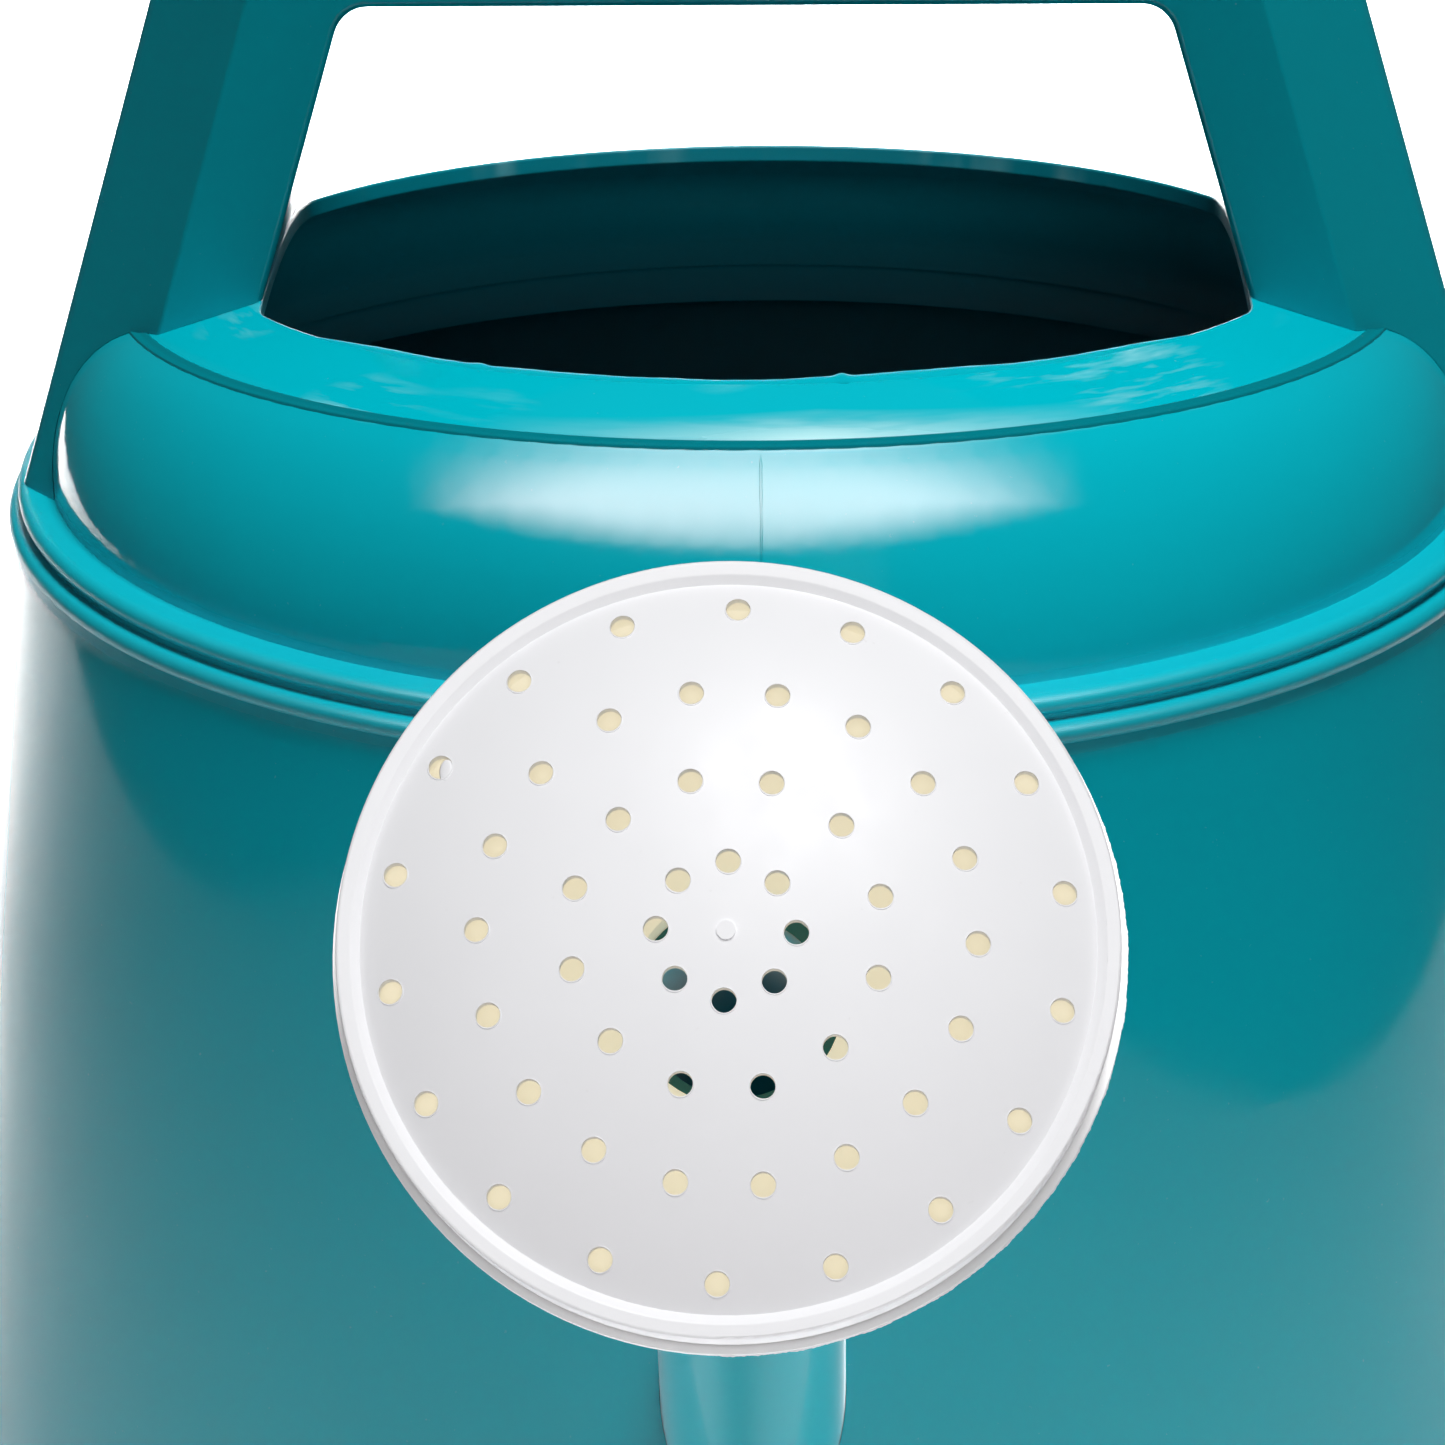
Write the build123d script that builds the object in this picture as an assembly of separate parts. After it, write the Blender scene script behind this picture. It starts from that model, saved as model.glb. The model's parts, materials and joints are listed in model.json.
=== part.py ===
from build123d import *
import os
from math import cos, hypot, radians, sin, sqrt, tan

# A garden watering can: a welded two-part body with an arch handle over the filling opening,
# a bent spout and a push-on two-piece rose. Millimetres, +Z up, origin at the centre of the
# foot ring on the ground, spout towards -Y.

# Tank
SEAM_Z = 150.0            # plane where the tank and the top cover are welded together
TANK_TOP_R = 101.0        # outer radius of the wall just under the weld bead
TANK_BASE_R = 116.5       # outer radius of the wall carried down to the ground
WALL = 2.4                # wall of the tank and the top cover
FLOOR = 2.8               # thickness of the tank's floor
FOOT_WIDTH = 5.0          # flat ring that the can stands on
FOOT_RECESS = 2.5         # how far the floor is raised inside the foot ring
BASE_ROUND = 6.0          # rounding between the foot ring and the wall

# Weld beads, one on each half of the body
BEAD_THICKNESS = 2.9
BEAD_GAP = 0.6            # groove between the two beads
LOWER_BEAD_PROUD = 0.7    # lower bead beyond the tank's wall
BEAD_STEP = 1.4           # upper bead set back from the lower one
WELD_GROOVE_DEPTH = 0.9   # from the upper bead's edge in to the welded band
WELD_LAND_WIDTH = 1.8
SPIGOT_DEPTH = 6.0        # the cover's locating skirt inside the tank's mouth
SPIGOT_WALL = 2.0
SPIGOT_PLAY = 0.3

# Top cover: a shoulder that curls in, a crease, and a lip round the filling opening
SHOULDER_SETBACK = 4.5    # foot of the shoulder behind the upper bead's edge
SHOULDER_START = 4.0      # height above the seam where it begins to curl in
SHOULDER_REACH = 10.5     # how far it curls in, up to the crease
CREASE_RISE = 25.5        # height of the crease above the seam, on the axis
TOP_TILT = 4.0            # the crease and the lip lean back, front edge higher, degrees
SHOULDER_SWEEP = 60.0     # turn of the shoulder's elliptical section, degrees
SHOULDER_SECTIONS = 4
LIP_SLOPE = 19.0          # the lip rises inwards, degrees
LIP_WIDTH = 13.3          # from the crease in to the opening
OPENING_CORNER = 8.0      # rounding where the opening meets the posts
LIP_EDGE_ROUND = 0.3
CREASE_GROOVE_R = 0.6
CREASE_GROOVE_INSET = 0.75  # middle of the groove, in from the crease on the lip

# Arch handle, two half shells: an outer channel and an inner strip that closes it
ARCH_SETBACK = 1.1        # outer face at the seam plane, behind the upper bead's edge
ARCH_LEAN = 0.30          # inward run of both faces for each unit of height
ARCH_THICKNESS = 25.8     # across a post, measured level
ARCH_CLEAR = 70.0         # underside of the grip above the seam
ARCH_INNER_ROUND = 4.5
ARCH_OUTER_ROUND = 26.0
POST_HALF_WIDTH = 34.0    # along Y, carried down to the seam plane
GRIP_HALF_WIDTH = 22.0    # along Y, at the top of the grip
ARCH_BEVEL_FRONT = 12.9   # bevel along the outer edges, measured on the front and rear faces
ARCH_BEVEL_OUT = 17.0     # the same bevel measured on the outer face
ARCH_RIDGE_ROUND = 5.0    # rounding along both ridges of the bevel
ARCH_EDGE_ROUND = 0.8     # rounding along the inner edges
ARCH_WALL = 2.8
STRIP_THICKNESS = 2.6
STRIP_LEDGE = 1.2         # ledge in the channel that the strip rests on
STRIP_PLAY = 0.15         # between the strip's edges and the channel
WELD_GAP = 0.05           # between faces that are welded together
NEAR = 0.01               # smaller than any feature, for telling edges apart

# Spout: a tube from the tank's wall, bent forward to the rose
SPOUT_R = 11.4
SPOUT_BORE_R = 9.2
SPOUT_MOUTH_BORE_R = 9.5
SPOUT_ROOT_Z = 69.0       # height where its centre line leaves the tank's wall
SPOUT_ROOT_ANGLE = 62.0   # above level, degrees
SPOUT_ROOT_RUN = 47.1
SPOUT_BEND_R = 70.0
SPOUT_TIP_ANGLE = 33.0    # above level, degrees
SPOUT_TIP_RUN = 30.4
SPOUT_TIP_R = 11.0        # the tip tapers to this at its mouth
SPOUT_FLANGE_R = 18.0     # saddle flange against the inside of the tank
SPOUT_FLANGE_THICKNESS = 2.2
SPOUT_HOLE_PLAY = 0.1

# Rose: distances along its axis are measured from the spout's mouth
ROSE_WALL = 1.7
ROSE_SOCKET_PLAY = 0.05
ROSE_SOCKET_DEPTH = 20.0  # how much of the spout's tip is inside the neck
ROSE_NECK_LEAD = 6.0      # neck in front of the spout's mouth
ROSE_CONE_LENGTH = 29.0
ROSE_RIM_R = 36.0
ROSE_RIM_LENGTH = 6.1
ROSE_COLLAR_PROUD = 0.9   # stop collar behind the face's skirt, beyond the skirt
ROSE_COLLAR_HALF = 1.0
ROSE_SNAP_R = 0.6         # snap bead on the rim
FACE_SPHERE_R = 71.0
FACE_WALL = 1.6
FACE_SKIRT_WALL = 1.44
FACE_RIM_WIDTH = 1.4      # flat ring round the edge of the face
FACE_STEP = 0.5           # height of that ring above the edge of the dome
FACE_STEP_WIDTH = 0.9
FACE_STEP_ROUND = 0.3
FACE_PLAY = 0.06
FACE_SEAT_GAP = 0.3
FACE_NUB_R = 0.9          # gate mark at the centre
FACE_NUB_HEIGHT = 0.25
FACE_CLOCK_ANGLE = -1.6   # how far the face is turned on its funnel, degrees
HOLE_R = 1.2
HOLE_RING_R = (6.6, 14.9, 23.7, 32.4)
HOLE_COUNT = (8, 12, 18, 18)
HOLE_START_ANGLE = (90.0, 105.0, 100.0, 90.0)

TANK_SLOPE = (TANK_BASE_R - TANK_TOP_R) / (SEAM_Z - BEAD_GAP / 2 - BEAD_THICKNESS)
BEAD_Z = (BEAD_GAP + BEAD_THICKNESS) / 2
LOWER_BEAD_R = TANK_TOP_R + LOWER_BEAD_PROUD
UPPER_BEAD_R = LOWER_BEAD_R - BEAD_STEP
WELD_LAND_R = UPPER_BEAD_R - WELD_GROOVE_DEPTH
SHOULDER_R = UPPER_BEAD_R - SHOULDER_SETBACK
CREASE_R = SHOULDER_R - SHOULDER_REACH
OPENING_R = CREASE_R - LIP_WIDTH
ARCH_FOOT_X = UPPER_BEAD_R - ARCH_SETBACK
ARCH_SLANT = sqrt(1 + ARCH_LEAN**2)
GRIP_TOP = ARCH_CLEAR + ARCH_THICKNESS / ARCH_SLANT
POST_TAPER = (POST_HALF_WIDTH - GRIP_HALF_WIDTH) / GRIP_TOP
ROSE_COLLAR = ROSE_NECK_LEAD + ROSE_CONE_LENGTH
ROSE_RIM_END = ROSE_COLLAR + ROSE_RIM_LENGTH
SNAP_PLACE = ROSE_RIM_END - 2 * ROSE_SNAP_R
FACE_R = ROSE_RIM_R + FACE_PLAY + FACE_SKIRT_WALL
ROSE_COLLAR_R = FACE_R + ROSE_COLLAR_PROUD


def tank_radius(height, depth=0.0):
    """Radius of the tank's conical wall at a height, a depth in from its outer face."""
    return TANK_BASE_R - TANK_SLOPE * height - depth * sqrt(1 + TANK_SLOPE**2)


def turned(*sketches):
    """Solid of revolution about Z of sketches drawn as radius and height."""
    profile = Sketch() + list(sketches)
    return revolve(Plane.XZ * profile, Axis.Z)


def outline(*points):
    """Face inside a closed polygon."""
    return make_face(Polyline(*points, close=True))


def band(inner, outer, low, high):
    """Rectangle between two radii and two heights."""
    return Pos((inner + outer) / 2, (low + high) / 2) * Rectangle(outer - inner, high - low)


def bead(inner, outer, mid_height):
    """Section of a weld bead with a full round edge."""
    half = BEAD_THICKNESS / 2
    flat = band(inner, outer - half, mid_height - half, mid_height + half)
    return flat + Pos(outer - half, mid_height) * Circle(half)


def tank_cone(depth, low, high):
    """Solid cone as wide as the tank, a depth in from its outer face."""
    section = outline(
        (0, low), (tank_radius(low, depth), low), (tank_radius(high, depth), high), (0, high)
    )
    return turned(section)


def make_tank():
    """Tapered tank with its floor, foot ring, weld bead and spout hole."""
    under_bead = SEAM_Z - BEAD_GAP / 2 - BEAD_THICKNESS
    mouth_r = WELD_LAND_R - WELD_LAND_WIDTH
    body = tank_cone(0, 0, SEAM_Z - BEAD_Z)
    foot_edge = body.faces().sort_by(Axis.Z)[0].edges()[0]
    body = fillet(foot_edge, BASE_ROUND)
    foot_r = body.faces().sort_by(Axis.Z)[0].edges()[0].radius
    hollow = tank_cone(WALL, FOOT_RECESS + FLOOR, under_bead)
    hollow_floor = hollow.faces().sort_by(Axis.Z)[0].edges()[0]
    hollow = fillet(hollow_floor, BASE_ROUND - WALL)
    land = band(mouth_r, WELD_LAND_R, SEAM_Z - BEAD_Z, SEAM_Z)
    rim = turned(bead(mouth_r, LOWER_BEAD_R, SEAM_Z - BEAD_Z) + land)
    mouth = turned(band(0, mouth_r, under_bead - WALL, SEAM_Z))
    recess = turned(band(0, foot_r - FOOT_WIDTH, 0, FOOT_RECESS))
    hole = spout_root(SPOUT_R + SPOUT_HOLE_PLAY)
    return body - hollow + rim - mouth - recess - hole


def tilted(height, share):
    """Level plane at a height, leaning back by a share of the top's tilt."""
    lean = radians(TOP_TILT * share)
    return Plane(origin=(0, 0, height), x_dir=(1, 0, 0), z_dir=(0, sin(lean), cos(lean)))


def shoulder_section(share, depth):
    """Circle of the shoulder's surface, a depth in from its outer face."""
    turn = radians(SHOULDER_SWEEP * share)
    reach = (SHOULDER_R - CREASE_R) / (1 - cos(radians(SHOULDER_SWEEP)))
    rise = (CREASE_RISE - SHOULDER_START) / sin(radians(SHOULDER_SWEEP))
    radius = SHOULDER_R - reach * (1 - cos(turn)) - depth * cos(turn)
    height = SEAM_Z + SHOULDER_START + rise * sin(turn) - depth * sin(turn)
    return radius, tilted(height, share)


def cover_form(depth, foot):
    """Solid inside the cover's outer surface, a depth in from it, closed over the opening."""
    sections = []
    for step in range(SHOULDER_SECTIONS):
        radius, plane = shoulder_section(step / (SHOULDER_SECTIONS - 1), depth)
        sections.append(plane * Circle(radius))
    shoulder = loft(sections)
    start_r, start = shoulder_section(0, depth)
    skirt = Pos(0, 0, foot) * Cylinder(
        start_r, start.origin.Z - foot, align=(Align.CENTER, Align.CENTER, Align.MIN)
    )
    crease_r, crease = shoulder_section(1, depth)
    cap_r = OPENING_R / 2
    cap_height = (crease_r - cap_r) * tan(radians(LIP_SLOPE))
    lip = crease * Cone(
        crease_r, cap_r, cap_height, align=(Align.CENTER, Align.CENTER, Align.MIN)
    )
    return skirt + shoulder + lip


def post_inside_at_lip():
    """Where the inner faces of the posts come down on the rising lip, measured from the axis."""
    climb = tan(radians(LIP_SLOPE))
    foot_x = ARCH_FOOT_X - ARCH_THICKNESS
    return (foot_x - ARCH_LEAN * (CREASE_RISE + CREASE_R * climb)) / (1 - ARCH_LEAN * climb)


def make_top_cover():
    """Shoulder, lip, filling opening, weld bead and locating skirt."""
    mouth_r = WELD_LAND_R - WELD_LAND_WIDTH
    spigot_r = mouth_r - SPIGOT_PLAY
    upper_bead = bead(SHOULDER_R - WALL, UPPER_BEAD_R, SEAM_Z + BEAD_Z)
    land = band(mouth_r, WELD_LAND_R, SEAM_Z, SEAM_Z + BEAD_Z)
    spigot = band(spigot_r - SPIGOT_WALL, spigot_r, SEAM_Z - SPIGOT_DEPTH, SEAM_Z + BEAD_Z)
    collar = turned(upper_bead + land + spigot)
    shell = cover_form(0, SEAM_Z + BEAD_Z) - cover_form(WALL, SEAM_Z)
    crease = tilted(SEAM_Z + CREASE_RISE, 1)
    groove_rise = CREASE_GROOVE_INSET * tan(radians(LIP_SLOPE))
    shell -= crease * Pos(0, 0, groove_rise) * Torus(CREASE_R - CREASE_GROOVE_INSET, CREASE_GROOVE_R)
    flats = Rectangle(2 * post_inside_at_lip(), 2 * OPENING_R)
    hole = Circle(OPENING_R) & flats
    hole = fillet(hole.vertices(), OPENING_CORNER)
    shell -= extrude(crease * hole, ARCH_CLEAR, both=True)
    return fillet(lip_edges(shell), LIP_EDGE_ROUND) + collar


def off_axis(spot):
    """Distance of a point from the can's axis."""
    return hypot(spot.X, spot.Y)


def lip_edges(shell):
    """Edges along both sides of the lip at the filling opening."""
    return [
        edge
        for edge in shell.edges()
        if edge.center().Z > SEAM_Z + SHOULDER_START
        and off_axis(edge.position_at(0.5)) < OPENING_R + CREASE_GROOVE_R
        and edge.length > WALL * 2
    ]


def spout_frame():
    """Planes across the spout's centre line: root, bend start, bend end and mouth."""
    tip = radians(SPOUT_TIP_ANGLE)
    root = radians(SPOUT_ROOT_ANGLE)
    along_root = Vector(0, -cos(root), sin(root))
    along_tip = Vector(0, -cos(tip), sin(tip))
    start = Vector(0, -tank_radius(SPOUT_ROOT_Z), SPOUT_ROOT_Z)
    bend_start = start + along_root * SPOUT_ROOT_RUN
    to_centre = Vector(0, -sin(root), -cos(root))
    centre = bend_start + to_centre * SPOUT_BEND_R
    bend_end = centre - Vector(0, -sin(tip), -cos(tip)) * SPOUT_BEND_R
    mouth = bend_end + along_tip * SPOUT_TIP_RUN
    side = (1, 0, 0)
    return (
        Plane(start, x_dir=side, z_dir=along_root),
        Plane(bend_start, x_dir=side, z_dir=along_root),
        Plane(bend_end, x_dir=side, z_dir=along_tip),
        Plane(mouth, x_dir=side, z_dir=along_tip),
        centre,
    )


def spout_root(radius):
    """Straight root of the spout, carried into the tank."""
    root, bend_start, _, _, _ = spout_frame()
    inside = 2 * SPOUT_FLANGE_R
    rod = Cylinder(
        radius, SPOUT_ROOT_RUN + inside, align=(Align.CENTER, Align.CENTER, Align.MAX)
    )
    return bend_start * rod


def spout_rod(radius, mouth_radius):
    """Solid rod along the whole spout, tapered over its tip."""
    _, bend_start, bend_end, _, centre = spout_frame()
    bend_axis = Axis(centre, (1, 0, 0))
    turn = SPOUT_ROOT_ANGLE - SPOUT_TIP_ANGLE
    bend = revolve(bend_start * Circle(radius), bend_axis, turn)
    tip = bend_end * Cone(
        radius, mouth_radius, SPOUT_TIP_RUN, align=(Align.CENTER, Align.CENTER, Align.MIN)
    )
    return spout_root(radius) + bend + tip


def make_spout():
    """Bent tube with a saddle flange that seats on the inside of the tank."""
    root = spout_frame()[0]
    tube = spout_rod(SPOUT_R, SPOUT_TIP_R)
    seat = tank_cone(WALL + WELD_GAP, FOOT_RECESS + FLOOR, SEAM_Z - SPIGOT_DEPTH)
    core = tank_cone(WALL + WELD_GAP + SPOUT_FLANGE_THICKNESS, 0, SEAM_Z)
    flange = root * Cylinder(SPOUT_FLANGE_R, 2 * SPOUT_ROOT_RUN)
    flange &= seat
    bore = spout_rod(SPOUT_BORE_R, SPOUT_MOUTH_BORE_R)
    return tube + flange - core - bore


def portal(foot_x, height, rounding):
    """Leaning doorway outline, wider at its foot, with round upper corners."""
    head_x = foot_x - ARCH_LEAN * height
    doorway = outline((-foot_x, 0), (foot_x, 0), (head_x, height), (-head_x, height))
    return fillet(doorway.vertices().group_by(Axis.Y)[-1], rounding)


def arch_outside(depth):
    """Outline round the whole arch, a depth in from its outer face."""
    return portal(ARCH_FOOT_X - depth * ARCH_SLANT, GRIP_TOP - depth, ARCH_OUTER_ROUND - depth)


def arch_inside(depth):
    """Outline of the space under the arch, carried a depth into the arch."""
    foot_x = ARCH_FOOT_X - ARCH_THICKNESS + depth * ARCH_SLANT
    return portal(foot_x, ARCH_CLEAR + depth, ARCH_INNER_ROUND + depth)


def arch_slab(section, side):
    """Arch section carried across to its leaning side faces, or set in from them."""
    arch = extrude(Plane.XZ * section, POST_HALF_WIDTH, both=True)
    inset = side * sqrt(1 + POST_TAPER**2)
    foot = POST_HALF_WIDTH - inset
    head = GRIP_HALF_WIDTH - inset
    wedge = outline((-foot, 0), (foot, 0), (head, GRIP_TOP), (-head, GRIP_TOP))
    arch &= extrude(Plane.YZ * wedge, ARCH_FOOT_X, both=True)
    return Pos(0, 0, SEAM_Z) * arch


def long_edges(arch, outer):
    """Edges that run from foot to foot along the outer or the inner outline of the arch."""
    chosen = []
    for edge in arch.edges():
        spot = edge.center()
        rise = spot.Z - SEAM_Z
        middle_x = ARCH_FOOT_X - ARCH_THICKNESS / 2 - ARCH_LEAN * rise
        beyond = abs(spot.X) > middle_x or rise > (ARCH_CLEAR + GRIP_TOP) / 2
        if abs(spot.Y) > NEAR and rise > NEAR and beyond == outer:
            chosen.append(edge)
    return chosen


def bevelled(arch, share, ridge_round):
    """Arch with a share of the bevel along its outer edges, its ridges rounded from foot to foot."""
    for end in (0, -1):
        flank = arch.faces().sort_by(Axis.Y)[end]
        edges = long_edges(flank, True)
        arch = chamfer(edges, ARCH_BEVEL_FRONT * share, ARCH_BEVEL_OUT * share, reference=flank)
    return fillet(long_edges(arch, True), ridge_round)


def make_handle_shell(seat):
    """Outer channel of the arch, seated on the cover and open to the inside."""
    outside = bevelled(arch_slab(arch_outside(0) - arch_inside(0), 0), 1, ARCH_RIDGE_ROUND)
    outside = fillet(long_edges(outside, False), ARCH_EDGE_ROUND)
    outside &= turned(band(0, UPPER_BEAD_R, SEAM_Z, SEAM_Z + GRIP_TOP))
    space = arch_outside(ARCH_WALL) - arch_inside(STRIP_THICKNESS)
    slopes = (1 / ARCH_BEVEL_FRONT, 1 / ARCH_BEVEL_OUT)
    share = 1 - ARCH_WALL * (sum(slopes) - hypot(*slopes))
    hollow = bevelled(arch_slab(space, ARCH_WALL), share, ARCH_RIDGE_ROUND - ARCH_WALL)
    pocket = arch_slab(
        arch_inside(STRIP_THICKNESS + WELD_GAP) - arch_inside(0), ARCH_WALL - STRIP_LEDGE
    )
    return outside - hollow - pocket - seat


def make_handle_strip(seat):
    """Inner strip that closes the channel and carries the fingers."""
    section = arch_inside(STRIP_THICKNESS) - arch_inside(0)
    return arch_slab(section, ARCH_WALL - STRIP_LEDGE + STRIP_PLAY) - seat


def handle_seat():
    """Solid under the handle's feet: the cover's outside and bead, with a gap for the weld."""
    bead_top = SEAM_Z + BEAD_Z + BEAD_THICKNESS / 2 + WELD_GAP
    ledge = turned(band(0, UPPER_BEAD_R + WALL, SEAM_Z, bead_top))
    return cover_form(-WELD_GAP, SEAM_Z) + ledge


def make_rose_body():
    """Funnel with its socket neck, stop collar and snap rim."""
    taper = (SPOUT_R - SPOUT_TIP_R) / SPOUT_TIP_RUN
    socket_in = SPOUT_TIP_R + ROSE_SOCKET_PLAY
    socket_out = socket_in + taper * ROSE_SOCKET_DEPTH
    neck_out = socket_out + ROSE_WALL
    rim_in = ROSE_RIM_R - ROSE_WALL
    funnel = outline(
        (socket_out, -ROSE_SOCKET_DEPTH),
        (neck_out, -ROSE_SOCKET_DEPTH),
        (neck_out, ROSE_NECK_LEAD),
        (ROSE_RIM_R, ROSE_COLLAR),
        (ROSE_RIM_R, ROSE_RIM_END),
        (rim_in, ROSE_RIM_END),
        (rim_in, ROSE_COLLAR),
        (socket_in, ROSE_NECK_LEAD),
        (socket_in, 0),
    )
    collar = band(rim_in, ROSE_COLLAR_R, ROSE_COLLAR - ROSE_COLLAR_HALF, ROSE_COLLAR + ROSE_COLLAR_HALF)
    snap = Pos(ROSE_RIM_R, SNAP_PLACE) * Circle(ROSE_SNAP_R)
    return spout_frame()[3] * turned(funnel + collar + snap)


def face_rim(dome_r, seat, top):
    """Section of the ring round the dome: a step up from the dome's edge, a flat, and its underside."""
    step_end = dome_r + FACE_STEP_WIDTH
    ring = outline(
        (dome_r - FACE_STEP_WIDTH, seat),
        (FACE_R, seat),
        (FACE_R, top),
        (step_end, top),
        (dome_r, top - FACE_STEP),
        (dome_r - FACE_STEP_WIDTH, top - FACE_STEP),
    )
    edges = ring.vertices().group_by(Axis.Y)[-1]
    return fillet(edges, FACE_STEP_ROUND)


def make_rose_face():
    """Domed face with a stepped rim, a skirt that snaps over the funnel, and rings of holes."""
    seat = ROSE_RIM_END + FACE_SEAT_GAP
    top = seat + FACE_WALL
    dome_r = FACE_R - FACE_RIM_WIDTH - FACE_STEP_WIDTH
    apex = top - FACE_STEP + FACE_SPHERE_R - sqrt(FACE_SPHERE_R**2 - dome_r**2)
    ball = Circle(FACE_SPHERE_R) - Circle(FACE_SPHERE_R - FACE_WALL)
    dome = Pos(0, apex - FACE_SPHERE_R) * ball & band(0, dome_r, seat, apex)
    skirt = band(ROSE_RIM_R + FACE_PLAY, FACE_R, ROSE_COLLAR + ROSE_COLLAR_HALF + FACE_SEAT_GAP, seat)
    groove = Pos(ROSE_RIM_R, SNAP_PLACE) * Circle(ROSE_SNAP_R + FACE_PLAY)
    nub = band(0, FACE_NUB_R, apex - FACE_WALL, apex + FACE_NUB_HEIGHT)
    face = turned(dome + face_rim(dome_r, seat, top) + skirt - groove + nub)
    for radius, count, start in zip(HOLE_RING_R, HOLE_COUNT, HOLE_START_ANGLE):
        ring = PolarLocations(radius, count, start_angle=start + FACE_CLOCK_ANGLE)
        face -= ring * Cylinder(HOLE_R, 2 * FACE_SPHERE_R)
    return spout_frame()[3] * face


os.makedirs("parts", exist_ok=True)
seat_form = handle_seat()
nodes = {
    "tank": make_tank(),
    "top_cover": make_top_cover(),
    "handle_shell": make_handle_shell(seat_form),
    "handle_strip": make_handle_strip(seat_form),
    "spout": make_spout(),
    "rose_body": make_rose_body(),
    "rose_face": make_rose_face(),
}
for name, solid in nodes.items():
    export_step(solid, f"parts/{name}.step")
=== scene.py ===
import json
import math

import bmesh
import bpy
import numpy as np
from mathutils import Matrix


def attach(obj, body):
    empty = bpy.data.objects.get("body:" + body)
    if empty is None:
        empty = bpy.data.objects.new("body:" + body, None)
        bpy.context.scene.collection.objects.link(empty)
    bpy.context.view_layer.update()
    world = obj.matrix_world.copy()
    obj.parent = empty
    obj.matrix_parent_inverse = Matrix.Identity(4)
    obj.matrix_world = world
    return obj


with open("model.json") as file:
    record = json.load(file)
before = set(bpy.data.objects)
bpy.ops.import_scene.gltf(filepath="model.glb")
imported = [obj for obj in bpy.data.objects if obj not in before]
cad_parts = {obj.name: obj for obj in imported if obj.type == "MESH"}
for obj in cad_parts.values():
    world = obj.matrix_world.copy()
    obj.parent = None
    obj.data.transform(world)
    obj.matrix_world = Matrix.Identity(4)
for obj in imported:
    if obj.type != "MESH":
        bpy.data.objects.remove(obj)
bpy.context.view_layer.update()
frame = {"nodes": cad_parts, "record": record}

# A moulded plastic watering can seen close up from just above its rose, in the frame of the CAD part: origin
# under the tank on the ground, +Z up, spout towards -Y. Metres, and millimetres for the small marks.
MM = 0.001
SEAM_Z = 0.150
FULL_TURN = 2 * math.pi

# Camera, fitted to the ring, the rose and the posts
CAMERA_DISTANCE = 0.700
CAMERA_ELEVATION = math.radians(19.009)
CAMERA_AZIMUTH = math.radians(0.89)
CAMERA_PITCH = math.radians(21.88)
CAMERA_YAW = math.radians(-0.472)
CAMERA_ROLL = math.radians(-0.579)
FOCAL_PIXELS = 5126.6
FRAME_PIXELS = 1445
SENSOR_MM = 36.0

# Sizes of the CAD part that the small marks are laid on, in millimetres
TANK_BASE_R, TANK_SLOPE = 116.5, 0.1056
SHOULDER_R, CREASE_R, LIP_WIDTH = 95.8, 85.3, 13.3
SHOULDER_START, CREASE_RISE = 4.0, 25.5
SHOULDER_SWEEP, TOP_TILT, LIP_SLOPE = math.radians(60), math.radians(4), math.radians(19)
COLLAR_R, COLLAR_PLACE = 38.4, 35.0
DOME_R, DOME_APEX = 71.0, 51.84
HOLE_R = 1.2
# Rings of holes: radius, number of holes, and the first hole's angle in degrees. One hole is half covered
HOLE_RINGS = ((6.6, 8, 88.4), (14.9, 12, 103.4), (23.7, 18, 98.4), (32.4, 18, 88.4))
COVERED_HOLE = (32.4, 148.4)

# Worked out from those: half axes of the shoulder's ellipse, and its curve's run for a whole share at the
# rate it has where it meets the crease, to a hundredth of a millimetre
SHOULDER_IN = (SHOULDER_R - CREASE_R) / (1 - math.cos(SHOULDER_SWEEP))
SHOULDER_UP = (CREASE_RISE - SHOULDER_START) / math.sin(SHOULDER_SWEEP)
CREASE_RATE = math.hypot(SHOULDER_IN * math.sin(SHOULDER_SWEEP), SHOULDER_UP * math.cos(SHOULDER_SWEEP))
CREASE_RUN = round(SHOULDER_SWEEP * CREASE_RATE, 2)

# Finishes as linear colours, two where the surface drifts between them. Some stand for painted shade, painted
# reflection or a painted glow, as marked
PLASTIC_IOR = 1.5
TEAL = ((0.0, 0.41, 0.50), (0.0, 0.45, 0.54))
TEAL_DUST = (0.25, 0.55, 0.60)
# Pale teal of rub marks on the lip and of painted reflection there
TEAL_RUB_AND_REFLECTION = (0.42, 0.74, 0.77)
# Painted shade inside the tank, darker lower down
INNER_PAINTED_SHADE = ((0.0, 0.08, 0.11), (0.0, 0.22, 0.28))
# Painted shade on the rim of the spout's mouth
MOUTH_PAINTED_SHADE = (0.0, 0.11, 0.11)
WHITE = ((0.93, 0.93, 0.95), (0.95, 0.95, 0.97))
WHITE_DUST = (0.60, 0.58, 0.56)
FUNNEL_OUTSIDE = ((0.94, 0.94, 0.94), (0.96, 0.96, 0.96))
# Inside of the funnel painted warmer, standing for daylight let through its thin wall
FUNNEL_INSIDE_PAINTED_WARM = ((0.93, 0.88, 0.75), (0.95, 0.91, 0.80))
# Painted glow of the funnel's inside, standing for that daylight
FUNNEL_PAINTED_GLOW, PAINTED_GLOW_STRENGTH = (1.0, 0.93, 0.74), 0.21
# Paper: grey painted shade out in front, and the white of the paper
PAPER_PAINTED_SHADE_AND_PALE = ((0.22, 0.22, 0.23), (0.86, 0.86, 0.87))
DIM_ROOM, DIM_STRENGTH = (0.90, 0.95, 1.0), 0.04
PALE_WALL = (0.80, 0.81, 0.83)
PANEL_TINT = (1.0, 0.78, 0.76)
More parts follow.
